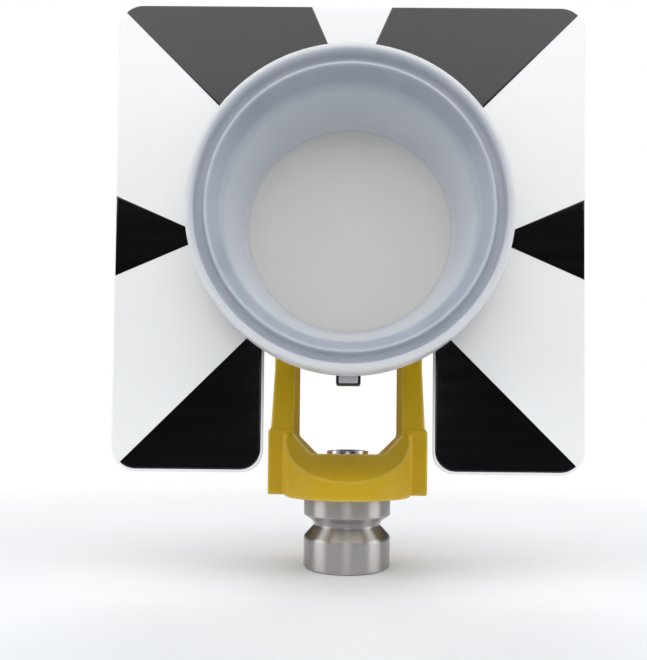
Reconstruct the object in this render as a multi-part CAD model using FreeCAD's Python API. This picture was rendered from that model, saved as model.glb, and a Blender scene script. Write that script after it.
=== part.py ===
import FreeCAD, Part
import math
import os

# Survey prism: a corner-cube canister with a target plate, held at two tilt pivots in a cast
# yoke on a turned adapter. Millimetres, +Z up. The prism looks along -Y. The origin is the
# centre of the adapter's bottom face, at the mouth of its pole thread.

V = FreeCAD.Vector
x_dir = V(1, 0, 0)
y_dir = V(0, 1, 0)
z_dir = V(0, 0, 1)

# ---- driving dimensions ----
axis_rise = 84.9            # optical and tilt axis above the yoke's bottom face

adapter_r = 16.4
adapter_height = 26.3
adapter_lower = 11.3        # top of the lower cylinder
waist_low = 15.5
waist_high = 17.4
adapter_upper_length = 6.8
waist_depth = 3.9
waist_step = 0.9
waist_land = 0.4
adapter_chamfer = 0.8
pole_thread_r = 6.75        # core of a 5/8-11 thread
pole_thread_depth = 14.0

yoke_front = 1.5            # flat front faces beside the boss
shoulder_height = 25.1      # block height above the adapter
boss_r = 24.0
boss_lip = 6.5              # height of the boss at its front
boss_root = 1.0             # the boss runs this far into the block
slope_top_drop = 0.6        # the sloping face starts this far under the shoulder
slot_half = 21.2
slot_floor = 15.9           # floor thickness above the adapter
slot_corner = 8.0           # 45 degree corner at each side of the floor
arm_thick = 8.5             # near the heads
block_side = 9.8            # block beside the slot
arm_taper_rise = 53.7       # the arms stop tapering this far above the yoke's bottom face
arm_lean_rise = 49.7        # and stop leaning back here
arm_front_depth = 8.0       # front face of the arms ahead of the pivot
arm_ledge = 0.8             # the arms stand this far inside the block, in front and at the sides
arm_head_r = 10.0

bolt_r = 4.0
bolt_head_r = 7.9
bolt_head_height = 3.6
bolt_head_side = 3.0
bolt_head_proud = 1.9
bolt_engagement = 10.0
socket_across = 5.0
socket_depth = 2.2
washer_thick = 1.0
washer_inset = 0.2
pin_r = 1.5
pin_length = 8.0
pin_y = 11.0

glass_r = 31.25
glass_front = -31.5
glass_chamfer = 0.5
lip_width = 1.05            # lip over the glass's edge
lip_thick = 1.1
front_gasket_thick = 0.6
pad_width = 6.15            # soft pads, inwards from the cavity's wall
pad_length = 11.0

plate_size = 150.0
plate_thick = 2.2
plate_front = -30.6
plate_drop = 75.2           # lower edge under the optical axis
plate_corner = 8.0
notch_margin = 3.1          # notch beside the boss
notch_corner = 7.0
plate_bevel = 0.6

cavity_margin = 1.65        # housing bore round the glass
spigot_wall = 2.0           # threaded spigot of the rear housing
barrel_wall = 2.0
barrel_land = 0.8           # the plate's seat stands this far proud of the barrel
flange_width = 6.6          # hood outside the barrel
hood_lip_width = 1.2
hood_lip_length = 4.6
hood_length = 15.4          # hood ahead of the plate
hood_wall = 3.0
hood_narrowing = 5.8        # from the hood's mouth to the glass seat
barrel_behind_plate = 7.6
thread_length = 4.0
housing_gasket_thick = 0.8
cavity_step = 1.2
cavity_step_length = 1.5
cavity_tip_r = 1.0
shoulder_overlap = 0.6      # the cavity narrows just ahead of the glass's three rear lobes
housing_cone_start = 1.0    # outside cone behind the cavity's shoulder
neck_ahead = 12.5           # neck ahead of the tilt axis
neck_behind = 11.0
neck_chamfer = 2.0
neck_inset = 0.6            # neck inside its two side pads
pad_r = 9.5
pivot_behind_apex = 3.3

ring_thick = 3.0
plate_screw_r = 1.25
plate_screw_angle = 38.0
plate_screw_depth = 5.0
plate_screw_head_r = 2.3
plate_screw_head = 1.6

lug_half = 3.7
lug_height = 4.75           # below the hood
lug_behind_mouth = 7.5
lug_length = 3.0
mark_half = 2.9
mark_height = 3.9
mark_margin = 0.45          # lug under the mark
mark_depth = 0.8

grub_r = 1.45
grub_pocket = 1.0
grub_slot = 0.5
stud_r = 3.0
bush_wall = 1.55
insert_wall = 1.45
insert_length = 8.0
tilt_washer_thick = 0.6
tilt_washer_r = 9.0
knob_washer_r = 7.0
knob_washer_thick = 0.8
knob_r = 12.0
knob_length = 11.0
knob_end_wall = 4.0
knob_dish_rim = 4.5
knob_dish_depth = 1.0
knob_chamfer = 1.0
knob_flutes = 16
knob_flute_r = 1.3
knob_flute_out = 0.3        # flute centres outside the knob's rim

cap_skirt = 7.6
cap_wall = 1.2
cap_ahead = 3.0             # cap's rim ahead of the hood's mouth
cap_floor_wall = 0.8
cap_floor_margin = 0.55     # cap's floor wider than the glass
cap_corner_width = 0.8      # slanted corner round the floor
cap_corner_rise = 0.6
cap_throat_width = 5.2      # the cone opens out this far outside the floor
cap_throat_depth = 4.0      # and this far behind the rim
cap_ridge_inset = 5.75      # ridge inside the cap's outer radius
cap_ridge_half = 0.3        # half the width of the ridge's top
cap_ridge_foot = 0.8        # half the width of its foot
cap_ridge_drop = 0.4        # its top behind the rim
cap_rim_width = 2.2
cap_rim_round = 0.55

# ---- clearances ----
running = 0.05              # stud in bush, bolt in thread
seat_gap = 0.1              # glass, threads and rings in their bores
slip = 0.3                  # cap floor and glass lip, ring and barrel
cap_gap = 0.35              # cap skirt round the hood
hole_gap = 0.15             # plate screws in their holes

# ---- sizes that follow ----
axis_z = adapter_height + axis_rise
adapter_upper = adapter_height - adapter_upper_length
waist_r = adapter_r - waist_depth
floor_z = adapter_height + slot_floor
shoulder_z = adapter_height + shoulder_height
counterbore_floor = floor_z + bolt_head_proud - bolt_head_height - washer_thick

glass_apex = glass_front + math.sqrt(2.0) * glass_r
pivot_y = glass_apex + pivot_behind_apex
lip_r = glass_r - lip_width
lip_back = glass_front - front_gasket_thick
lip_front = lip_back - lip_thick
cavity_r = glass_r + cavity_margin
thread_r = cavity_r + spigot_wall + seat_gap
barrel_r = thread_r + barrel_wall
spigot_r = barrel_r + barrel_land
hood_r = barrel_r + flange_width
hood_lip_r = hood_r + hood_lip_width
hood_front = plate_front - hood_length
plate_back = plate_front + plate_thick
plate_bottom = axis_z - plate_drop
notch_half = boss_r + notch_margin
ring_front = plate_back
ring_back = ring_front + ring_thick
barrel_end = plate_back + barrel_behind_plate
shoulder_y = barrel_end + housing_gasket_thick
thread_front = shoulder_y - thread_length
grub_y = (thread_front + barrel_end) / 2
lobe_height = glass_r / math.sqrt(2.0)
cavity_shoulder = glass_front + lobe_height - shoulder_overlap
plate_screw_circle = (barrel_r + hood_r) / 2 + 0.5

pad_half = slot_half - tilt_washer_thick
neck_r = pad_half - neck_inset
arm_top_half = slot_half + arm_thick
yoke_width = 2 * (slot_half + block_side)
yoke_back = pivot_y + arm_head_r
arm_front = pivot_y - arm_front_depth
bush_r = stud_r + running + bush_wall
insert_r = stud_r + running + insert_wall
knob_inner = arm_top_half + knob_washer_thick

cap_r = hood_lip_r + cap_gap + cap_wall
cap_front = hood_front - cap_ahead
cap_floor_r = glass_r + cap_floor_margin
cap_floor_back = lip_front - slip
cap_floor_front = cap_floor_back - cap_floor_wall
cap_ridge_r = cap_r - cap_ridge_inset


def cylinder_x(radius, x_low, x_high, y, z):
    return Part.makeCylinder(radius, x_high - x_low, V(x_low, y, z), x_dir)


def cylinder_y(radius, y_low, y_high, x=0.0, z=axis_z):
    return Part.makeCylinder(radius, y_high - y_low, V(x, y_low, z), y_dir)


def cylinder_z(radius, z_low, z_high, x=0.0, y=0.0):
    return Part.makeCylinder(radius, z_high - z_low, V(x, y, z_low), z_dir)


def ring_y(outer, inner, y_low, y_high):
    return cylinder_y(outer, y_low, y_high).cut(cylinder_y(inner, y_low - 1, y_high + 1))


def ring_x(outer, inner, x_low, x_high):
    solid = cylinder_x(outer, x_low, x_high, pivot_y, axis_z)
    return solid.cut(cylinder_x(inner, x_low - 1, x_high + 1, pivot_y, axis_z))


def closed_face(points):
    return Part.Face(Part.makePolygon(points + [points[0]]))


def extrude_x(outline, x_low, x_high):
    face = closed_face([V(x_low, y, z) for y, z in outline])
    return face.extrude(V(x_high - x_low, 0, 0))


def extrude_y(outline, y_low, y_high):
    face = closed_face([V(x, y_low, z) for x, z in outline])
    return face.extrude(V(0, y_high - y_low, 0))


def turn_about_z(outline):
    face = closed_face([V(r, 0, z) for r, z in outline])
    return face.revolve(V(0, 0, 0), z_dir, 360)


def turn_about_optical_axis(outline):
    face = closed_face([V(0, y, axis_z + r) for r, y in outline])
    return face.revolve(V(0, 0, axis_z), y_dir, 360)


def hexagon_socket(across, z_low, z_high):
    corner = across / math.sqrt(3.0)
    points = [V(corner * math.cos(math.radians(60 * k)), corner * math.sin(math.radians(60 * k)), z_low)
              for k in range(6)]
    return closed_face(points).extrude(V(0, 0, z_high - z_low))


def mirrored(shape):
    return shape.mirror(V(0, 0, 0), x_dir)


def save(name, shape):
    shape.exportStep("parts/" + name + ".step")


# ---- adapter and what fastens it ----

def adapter():
    outline = [(0, 0), (adapter_r - adapter_chamfer, 0), (adapter_r, adapter_chamfer),
               (adapter_r, adapter_lower), (waist_r, waist_low), (waist_r, waist_low + waist_land),
               (waist_r + waist_step, waist_high), (adapter_r, adapter_upper),
               (adapter_r, adapter_height), (0, adapter_height)]
    body = turn_about_z(outline)
    body = body.cut(cylinder_z(pole_thread_r, -1, pole_thread_depth))
    body = body.cut(cylinder_z(bolt_r + running, pole_thread_depth - 1, adapter_height + 1))
    pin_bottom = adapter_height - pin_length / 2
    return body.cut(cylinder_z(pin_r + running, pin_bottom, adapter_height + 1, y=pin_y))


def adapter_bolt():
    head_bottom = floor_z + bolt_head_proud - bolt_head_height
    dome_rise = bolt_head_height - bolt_head_side
    dome_r = (bolt_head_r ** 2 + dome_rise ** 2) / (2 * dome_rise)
    head = cylinder_z(bolt_head_r, head_bottom, head_bottom + bolt_head_height)
    dome = Part.makeSphere(dome_r, V(0, 0, head_bottom + bolt_head_height - dome_r))
    head = head.common(dome)
    shank = cylinder_z(bolt_r, adapter_height - bolt_engagement, head_bottom)
    head_top = head_bottom + bolt_head_height
    socket = hexagon_socket(socket_across, head_top - socket_depth, head_top + 1)
    return head.fuse(shank).cut(socket)


def bolt_washer():
    disc = cylinder_z(bolt_head_r - washer_inset, counterbore_floor, counterbore_floor + washer_thick)
    return disc.cut(cylinder_z(bolt_r + seat_gap, counterbore_floor - 1, floor_z))


def anti_turn_pin():
    return cylinder_z(pin_r, adapter_height - pin_length / 2, adapter_height + pin_length / 2, y=pin_y)


# ---- cast yoke ----

def yoke_blank():
    side_view = [(yoke_front, adapter_height), (yoke_front, shoulder_z),
                 (yoke_front + arm_ledge, shoulder_z), (arm_front, adapter_height + arm_lean_rise),
                 (arm_front, axis_z), (yoke_back, axis_z), (yoke_back, adapter_height)]
    half = yoke_width / 2
    body = extrude_x(side_view, -half, half)
    body = body.fuse(cylinder_x(arm_head_r, -half, half, pivot_y, axis_z))
    top = axis_z + arm_head_r + 1
    taper_z = adapter_height + arm_taper_rise
    arm_half = half - arm_ledge
    front_view = [(-half, adapter_height), (half, adapter_height), (half, shoulder_z),
                  (arm_half, shoulder_z), (arm_top_half, taper_z), (arm_top_half, top),
                  (-arm_top_half, top), (-arm_top_half, taper_z), (-arm_half, shoulder_z),
                  (-half, shoulder_z)]
    body = body.common(extrude_y(front_view, -boss_r, yoke_back + 1))
    boss_end = yoke_front + boss_root
    boss = cylinder_z(boss_r, adapter_height, shoulder_z)
    boss = boss.cut(Part.makeBox(4 * boss_r, 4 * boss_r, shoulder_z, V(-2 * boss_r, boss_end, 0)))
    slope_top = shoulder_z - slope_top_drop
    slope_bottom = adapter_height + boss_lip
    above_slope = [(-boss_r, slope_bottom), (boss_end, slope_top),
                   (boss_end, shoulder_z + 1), (-boss_r - 1, shoulder_z + 1),
                   (-boss_r - 1, slope_bottom)]
    boss = boss.cut(extrude_x(above_slope, -2 * boss_r, 2 * boss_r))
    return body.fuse(boss).removeSplitter()


def slot_tool():
    flat = slot_half - slot_corner
    top = axis_z + arm_head_r + 2
    outline = [(-flat, floor_z), (flat, floor_z), (slot_half, floor_z + slot_corner),
               (slot_half, top), (-slot_half, top), (-slot_half, floor_z + slot_corner)]
    return extrude_y(outline, -boss_r - 1, yoke_back + 1)


def yoke():
    body = yoke_blank().cut(slot_tool()).removeSplitter()
    body = body.cut(cylinder_x(bush_r, -yoke_width, yoke_width, pivot_y, axis_z))
    body = body.cut(cylinder_z(bolt_r + slip, adapter_height - 1, floor_z))
    body = body.cut(cylinder_z(bolt_head_r + slip, counterbore_floor, floor_z + 1))
    pin_top = adapter_height + pin_length / 2
    return body.cut(cylinder_z(pin_r + running, adapter_height - 1, pin_top, y=pin_y))


def pivot_bush_right():
    return ring_x(bush_r, stud_r + running, slot_half, arm_top_half)


# ---- canister ----

def front_barrel():
    seat_r = hood_lip_r - hood_wall - hood_narrowing
    outline = [(hood_lip_r - hood_wall, hood_front), (hood_lip_r, hood_front),
               (hood_lip_r, hood_front + hood_lip_length),
               (hood_r, hood_front + hood_lip_length + hood_lip_width), (hood_r, plate_front),
               (spigot_r, plate_front), (spigot_r, plate_back - seat_gap),
               (barrel_r, plate_back - seat_gap), (barrel_r, barrel_end),
               (thread_r, barrel_end), (thread_r, thread_front), (glass_r + seat_gap, thread_front),
               (glass_r + seat_gap, lip_back), (lip_r, lip_back), (lip_r, lip_front),
               (seat_r, lip_front)]
    body = turn_about_optical_axis(outline)
    lug = Part.makeBox(2 * lug_half, lug_length, lug_height + 1,
                       V(-lug_half, hood_front + lug_behind_mouth, axis_z - hood_r - lug_height))
    body = body.fuse(lug).removeSplitter()
    body = body.cut(index_mark())
    body = body.cut(plate_screw_holes(plate_screw_r, plate_front - plate_screw_depth, plate_front + 1))
    return body.cut(grub_hole(grub_r + running, thread_r - 1))


def index_mark():
    low = axis_z - hood_r - lug_height + mark_margin
    return Part.makeBox(2 * mark_half, mark_depth, mark_height,
                        V(-mark_half, hood_front + lug_behind_mouth, low))


def grub_hole(radius, bottom_r):
    base = V(0, grub_y, axis_z + bottom_r)
    return Part.makeCylinder(radius, barrel_r + 2 - bottom_r, base, z_dir)


def housing_grub_screw():
    bottom_r = thread_r - seat_gap - grub_pocket
    top_r = barrel_r - slip
    screw = Part.makeCylinder(grub_r, top_r - bottom_r, V(0, grub_y, axis_z + bottom_r), z_dir)
    slot = Part.makeBox(3 * grub_r, grub_slot, 1,
                        V(-1.5 * grub_r, grub_y - grub_slot / 2, axis_z + top_r - grub_slot))
    return screw.cut(slot)


def rear_housing():
    step_r = cavity_r - cavity_step
    cone_mouth = cavity_shoulder + cavity_step_length
    cone_tip = cone_mouth + (step_r - cavity_tip_r) / math.sqrt(2.0)
    housing_end = pivot_y + neck_behind
    outline = [(thread_r - seat_gap, thread_front), (thread_r - seat_gap, shoulder_y),
               (barrel_r, shoulder_y), (barrel_r, cavity_shoulder + housing_cone_start),
               (neck_r, pivot_y - neck_ahead),
               (neck_r, housing_end - neck_chamfer), (neck_r - neck_chamfer, housing_end),
               (0, housing_end), (0, cone_tip), (cavity_tip_r, cone_tip), (step_r, cone_mouth),
               (step_r, cavity_shoulder), (cavity_r, cavity_shoulder), (cavity_r, thread_front)]
    body = turn_about_optical_axis(outline)
    pads = cylinder_x(pad_r, -pad_half, pad_half, pivot_y, axis_z)
    pads = pads.cut(cylinder_x(pad_r + 1, -neck_r / 2, neck_r / 2, pivot_y, axis_z))
    body = body.fuse(pads).removeSplitter()
    for inner, outer in ((pad_half - insert_length, pad_half + 1), (-pad_half - 1, insert_length - pad_half)):
        body = body.cut(cylinder_x(insert_r, inner, outer, pivot_y, axis_z))
    return body.cut(grub_hole(grub_r + running, thread_r - seat_gap - grub_pocket))


def cube_corner():
    # three square faces meet at the apex, and one edge runs down and forward in the middle plane
    size = 3 * glass_r
    along = 1 / math.sqrt(3.0)
    down = V(0, -along, -math.sqrt(2.0 / 3.0))
    right = V(math.sqrt(0.5), -along, math.sqrt(1.0 / 6.0))
    left = V(-math.sqrt(0.5), -along, math.sqrt(1.0 / 6.0))
    corner = Part.makeBox(size, size, size)
    turn = FreeCAD.Rotation(down, right, left, "XYZ")
    corner.Placement = FreeCAD.Placement(V(0, glass_apex, axis_z), turn)
    return corner


def corner_cube():
    disc = cylinder_y(glass_r, glass_front, glass_apex)
    rim = [e for e in disc.Edges if abs(e.BoundBox.YMax - glass_front) < 0.01 and e.BoundBox.XLength > 1]
    disc = disc.makeChamfer(glass_chamfer, rim)
    return disc.common(cube_corner())


def prism_pads():
    outer = cavity_r - seat_gap
    ring = ring_y(outer, outer - pad_width + seat_gap, cavity_shoulder - pad_length, cavity_shoulder)
    return ring.cut(cube_corner())


def front_gasket():
    return ring_y(glass_r, lip_r + seat_gap, lip_back, glass_front)


def housing_gasket():
    return ring_y(barrel_r - slip, thread_r + seat_gap, barrel_end, shoulder_y)


def pivot_insert_right():
    return ring_x(insert_r, stud_r + running, pad_half - insert_length, pad_half)


def tilt_washer_right():
    return ring_x(tilt_washer_r, stud_r + seat_gap, pad_half, slot_half)


# ---- target plate ----

def plate_screw_holes(radius, y_low, y_high):
    holes = []
    for angle in (plate_screw_angle, 180 - plate_screw_angle, 180 + plate_screw_angle, -plate_screw_angle):
        x = plate_screw_circle * math.cos(math.radians(angle))
        z = axis_z + plate_screw_circle * math.sin(math.radians(angle))
        holes.append(cylinder_y(radius, y_low, y_high, x, z))
    return Part.makeCompound(holes)


def through_edges(sheet, half, low_only):
    found = []
    for edge in sheet.Edges:
        box = edge.BoundBox
        through = box.XLength < 0.01 and box.ZLength < 0.01
        at_side = abs(abs(box.XMin) - half) < 0.01
        if through and at_side and (not low_only or abs(box.ZMin - plate_bottom) < 0.01):
            found.append(edge)
    return found


def target_plate():
    half = plate_size / 2
    sheet = Part.makeBox(plate_size, plate_thick, plate_size, V(-half, plate_front, plate_bottom))
    notch = Part.makeBox(2 * notch_half, plate_thick + 2, axis_z - plate_bottom + 1,
                         V(-notch_half, plate_front - 1, plate_bottom - 1))
    sheet = sheet.cut(notch)
    hole_r = spigot_r + slip
    sheet = sheet.cut(cylinder_y(hole_r, plate_front - 1, plate_back + 1))
    sheet = sheet.makeFillet(plate_corner, through_edges(sheet, half, False))
    sheet = sheet.makeFillet(notch_corner, through_edges(sheet, notch_half, True))
    front = [f for f in sheet.Faces if f.BoundBox.YLength < 0.01 and f.BoundBox.YMin < plate_front + 0.01]
    rim = [e for e in front[0].Edges if abs(getattr(e.Curve, "Radius", 0) - hole_r) > 0.01]
    sheet = sheet.makeChamfer(plate_bevel, rim)
    return sheet.cut(plate_screw_holes(plate_screw_r + hole_gap, plate_front - 1, plate_back + 1))


def plate_clamp_ring():
    ring = ring_y(hood_r, barrel_r + slip, ring_front, ring_back)
    return ring.cut(plate_screw_holes(plate_screw_r + hole_gap, ring_front - 1, ring_back + 1))


def plate_screws():
    shanks = plate_screw_holes(plate_screw_r - running, plate_front - plate_screw_depth + 0.5, ring_back)
    heads = plate_screw_holes(plate_screw_head_r, ring_back, ring_back + plate_screw_head)
    return Part.makeCompound([s.fuse(h).removeSplitter() for s, h in zip(shanks.Solids, heads.Solids)])


# ---- tilt knobs ----

def tilt_knob_right():
    x_low = knob_inner
    x_high = x_low + knob_length
    body = cylinder_x(knob_r, x_low, x_high, pivot_y, axis_z)
    rims = [e for e in body.Edges if e.BoundBox.XLength < 0.01 and e.BoundBox.YLength > 1]
    body = body.makeChamfer(knob_chamfer, rims)
    for k in range(knob_flutes):
        angle = 2 * math.pi * k / knob_flutes
        y = pivot_y + (knob_r + knob_flute_out) * math.cos(angle)
        z = axis_z + (knob_r + knob_flute_out) * math.sin(angle)
        body = body.cut(cylinder_x(knob_flute_r, x_low - 1, x_high + 1, y, z))
    dish_r = knob_r - knob_dish_rim
    body = body.cut(cylinder_x(dish_r, x_high - knob_dish_depth, x_high + 1, pivot_y, axis_z))
    return body.cut(cylinder_x(stud_r, x_low - 1, x_high - knob_end_wall, pivot_y, axis_z))


def knob_stud_right():
    stud_end = knob_inner + knob_length - knob_end_wall
    return cylinder_x(stud_r, pad_half - insert_length + 1, stud_end, pivot_y, axis_z)


def knob_washer_right():
    return ring_x(knob_washer_r, stud_r + seat_gap, arm_top_half, knob_inner)


# ---- dust cap ----

def dust_cap():
    skirt_in = cap_r - cap_wall
    skirt_end = cap_front + cap_skirt
    channel_back = hood_front
    channel_front = channel_back - cap_wall
    rim_in = cap_r - cap_rim_width
    ridge_top = cap_front + cap_ridge_drop
    throat_r = cap_floor_r + cap_throat_width
    throat_y = cap_front + cap_throat_depth
    corner_r = cap_floor_r + cap_corner_width
    corner_y = cap_floor_front - cap_corner_rise
    outline = [(cap_r, skirt_end), (cap_r, cap_front + cap_rim_round),
               (cap_r - cap_rim_round, cap_front), (rim_in, cap_front),
               (rim_in - cap_rim_round, cap_front + cap_rim_round),
               (rim_in - 2 * cap_rim_round, channel_front),
               (cap_ridge_r + cap_ridge_foot, channel_front),
               (cap_ridge_r + cap_ridge_half, ridge_top), (cap_ridge_r - cap_ridge_half, ridge_top),
               (throat_r, throat_y), (corner_r, corner_y),
               (cap_floor_r, cap_floor_front), (0, cap_floor_front), (0, cap_floor_back),
               (cap_floor_r + cap_wall / 2, cap_floor_back), (corner_r + cap_wall, corner_y),
               (throat_r + cap_wall, throat_y), (cap_ridge_r, channel_back - cap_ridge_foot),
               (cap_ridge_r + cap_ridge_foot, channel_back), (skirt_in, channel_back),
               (skirt_in, skirt_end)]
    return turn_about_optical_axis(outline)


def main():
    os.makedirs("parts", exist_ok=True)
    save("adapter", adapter())
    save("adapter_bolt", adapter_bolt())
    save("bolt_washer", bolt_washer())
    save("anti_turn_pin", anti_turn_pin())
    save("yoke", yoke())
    save("front_barrel", front_barrel())
    save("rear_housing", rear_housing())
    save("corner_cube", corner_cube())
    save("prism_pads", prism_pads())
    save("front_gasket", front_gasket())
    save("housing_gasket", housing_gasket())
    save("housing_grub_screw", housing_grub_screw())
    save("index_mark", index_mark())
    save("target_plate", target_plate())
    save("plate_clamp_ring", plate_clamp_ring())
    save("plate_screws", plate_screws())
    save("dust_cap", dust_cap())
    pairs = {"pivot_bush": pivot_bush_right, "pivot_insert": pivot_insert_right,
             "tilt_washer": tilt_washer_right, "tilt_knob": tilt_knob_right,
             "knob_stud": knob_stud_right, "knob_washer": knob_washer_right}
    for name, make in pairs.items():
        right = make()
        save(name + "_right", right)
        save(name + "_left", mirrored(right))


main()
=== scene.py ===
import math
import bmesh
import bpy
import numpy as np
from mathutils import Matrix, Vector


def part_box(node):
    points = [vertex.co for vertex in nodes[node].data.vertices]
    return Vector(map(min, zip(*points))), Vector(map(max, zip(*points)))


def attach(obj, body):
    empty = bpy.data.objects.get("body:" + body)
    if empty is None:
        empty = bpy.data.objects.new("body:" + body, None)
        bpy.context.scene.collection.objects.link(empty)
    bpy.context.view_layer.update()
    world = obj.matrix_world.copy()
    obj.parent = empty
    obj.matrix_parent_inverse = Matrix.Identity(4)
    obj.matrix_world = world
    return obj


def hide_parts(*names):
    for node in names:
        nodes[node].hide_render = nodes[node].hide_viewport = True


# Survey prism: finished surfaces, materials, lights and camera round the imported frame.
# Sizes in the dictionaries are millimetres; places are taken from the frame's own boxes.

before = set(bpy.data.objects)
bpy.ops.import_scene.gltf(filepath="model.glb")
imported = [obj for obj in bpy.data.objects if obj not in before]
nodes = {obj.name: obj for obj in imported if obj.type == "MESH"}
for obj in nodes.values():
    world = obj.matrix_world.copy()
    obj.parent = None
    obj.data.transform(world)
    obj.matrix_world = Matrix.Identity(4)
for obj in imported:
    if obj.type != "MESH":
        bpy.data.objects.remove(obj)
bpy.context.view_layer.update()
mm = 0.001


def boxOf(node):                                    # lowest and highest corner in millimetres
    low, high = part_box(node)
    return np.array(low) / mm, np.array(high) / mm


capLow, capHigh = boxOf("dust_cap")
plateLow, plateHigh = boxOf("target_plate")
barrelLow, barrelHigh = boxOf("front_barrel")
glassLow, glassHigh = boxOf("corner_cube")
adapterHigh = boxOf("adapter")[1]
axisZ = (capLow[2] + capHigh[2]) / 2                # height of the optical and tilt axes
pivotY = float(np.mean([corner[1] for corner in boxOf("pivot_bush_right")]))
opticalAxis = (0.0, 0.0, axisZ)


# ---- shapes ----

def meshPiece(name, points, faces, sharpAngle=32):
    # points in millimetres; coincident ones are joined, faces turned outwards, hard edges kept by angle
    mesh = bpy.data.meshes.new(name)
    mesh.from_pydata((np.asarray(points) * mm).tolist(), [], faces)
    work = bmesh.new()
    work.from_mesh(mesh)
    bmesh.ops.remove_doubles(work, verts=work.verts, dist=2e-7)
    bmesh.ops.recalc_face_normals(work, faces=work.faces)
    work.to_mesh(mesh)
    work.free()
    mesh.shade_smooth()
    mesh.set_sharp_from_angle(angle=math.radians(sharpAngle))
    piece = bpy.data.objects.new(name, mesh)
    bpy.context.scene.collection.objects.link(piece)
    return piece


def gridFaces(rows, steps, closedRows, start=0):
    # quads between neighbouring points of a grid whose steps always close on themselves
    index = start + np.arange(rows * steps).reshape(rows, steps)
    index = np.hstack([index, index[:, :1]])
    if closedRows:
        index = np.vstack([index, index[:1]])
    corners = [index[:-1, :-1], index[1:, :-1], index[1:, 1:], index[:-1, 1:]]
    return np.stack(corners, -1).reshape(-1, 4).tolist()


def softCorners(corners, steps=6):
    # A corner (a, b, radius) becomes the arc that touches both its sides: the rational quadratic
    # curve between the two touching points, pulled to the corner by the sine of half its angle.
    corners = np.array(corners, float)
    point, radius = corners[:, :2], corners[:, 2]
    back = np.roll(point, 1, 0) - point
    ahead = np.roll(point, -1, 0) - point
    back /= np.linalg.norm(back, axis=1)[:, None]
    ahead /= np.linalg.norm(ahead, axis=1)[:, None]
    half = np.arccos(np.clip((back * ahead).sum(1), -1, 1)) / 2
    reach = (radius / np.tan(half))[:, None]
    first, last = (point + back * reach)[:, None], (point + ahead * reach)[:, None]
    t = np.linspace(0, 1, steps)[None, :, None]
    pull = 2 * t * (1 - t) * np.sin(half)[:, None, None]
    curve = (1 - t) ** 2 * first + pull * point[:, None] + t ** 2 * last
    curve = (curve / ((1 - t) ** 2 + pull + t ** 2)).reshape(-1, 2)
    apart = np.linalg.norm(curve - np.roll(curve, 1, 0), axis=1) > 1e-6
    return curve[apart]


def revolve(name, profile, centre, axis, steps=192, closed=True, reshape=None):
    # A profile point (radius, along) goes round the axis: centre + along * axis + radius * (cos, sin).
    # reshape may change radius and along as functions of the angle, for flutes, threads and sockets.
    profile = np.array(profile, float)
    angle = np.linspace(0, 2 * np.pi, steps, endpoint=False)[None, :]
    radius = np.repeat(profile[:, :1], steps, 1)
    along = np.repeat(profile[:, 1:2], steps, 1)
    if reshape:
        radius, along = reshape(radius, along, angle)
    axes = {"x": (0, 1, 2), "y": (1, 2, 0), "z": (2, 0, 1)}[axis]
    points = np.zeros(radius.shape + (3,))
    points[..., axes[0]] = along
    points[..., axes[1]] = radius * np.cos(angle)
    points[..., axes[2]] = radius * np.sin(angle)
    points += np.array(centre)
    return meshPiece(name, points.reshape(-1, 3), gridFaces(len(profile), steps, closed))


def sheet(name, outline, layers):
    # Layers of one outline (x, z): each is moved inwards by its inset and set at its own y, and the
    # first and last are filled. Inwards is along the corner's mitre, the mean of its sides' normals.
    outline = np.array(outline, float)
    x, z = outline.T
    if (x * np.roll(z, -1) - z * np.roll(x, -1)).sum() < 0:
        outline = outline[::-1]
    ahead = np.roll(outline, -1, 0) - outline
    ahead /= np.linalg.norm(ahead, axis=1)[:, None]
    normal = np.stack([-ahead[:, 1], ahead[:, 0]], 1)
    before = np.roll(normal, 1, 0)
    mitre = (normal + before) / (1 + (normal * before).sum(1))[:, None]
    rings = [np.insert(outline + mitre * inset, 1, y, axis=1) for inset, y in layers]
    count = len(outline)
    faces = gridFaces(len(layers), count, False)
    faces += [list(range(count)), list(range(count * (len(layers) - 1), count * len(layers)))]
    return meshPiece(name, np.vstack(rings), faces)


def arc(centre, radius, fromDegrees, toDegrees, steps):
    angle = np.radians(np.linspace(fromDegrees, toDegrees, steps))
    return np.stack([centre[0] + radius * np.cos(angle), centre[1] + radius * np.sin(angle)], 1)


def joined(name, *pieces):                          # several shells as one piece
    work = bmesh.new()
    for piece in pieces:
        work.from_mesh(piece.data)
        bpy.data.objects.remove(piece)
    mesh = bpy.data.meshes.new(name)
    work.to_mesh(mesh)
    work.free()
    piece = bpy.data.objects.new(name, mesh)
    bpy.context.scene.collection.objects.link(piece)
    return piece


def mergedCopy(name, node):
    # a copy of a frame node with its loose triangles joined and flat faces made whole
    mesh = nodes[node].data.copy()
    mesh.materials.clear()
    work = bmesh.new()
    work.from_mesh(mesh)
    bmesh.ops.remove_doubles(work, verts=work.verts, dist=2e-6)
    bmesh.ops.dissolve_limit(work, angle_limit=math.radians(0.5), verts=work.verts, edges=work.edges)
    work.to_mesh(mesh)
    work.free()
    piece = bpy.data.objects.new(name, mesh)
    bpy.context.scene.collection.objects.link(piece)
    return piece


def easedCopy(name, node, width):                   # the node's shape with its edges broken
    piece = mergedCopy(name, node)
    piece.data.shade_smooth()
    bevel = piece.modifiers.new("brokenEdges", "BEVEL")
    bevel.width = width * mm
    bevel.segments = 3
    bevel.limit_method = "ANGLE"
    bevel.angle_limit = math.radians(30)
    weights = piece.modifiers.new("flatFaces", "WEIGHTED_NORMAL")
    weights.keep_sharp = True
    return piece


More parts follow.
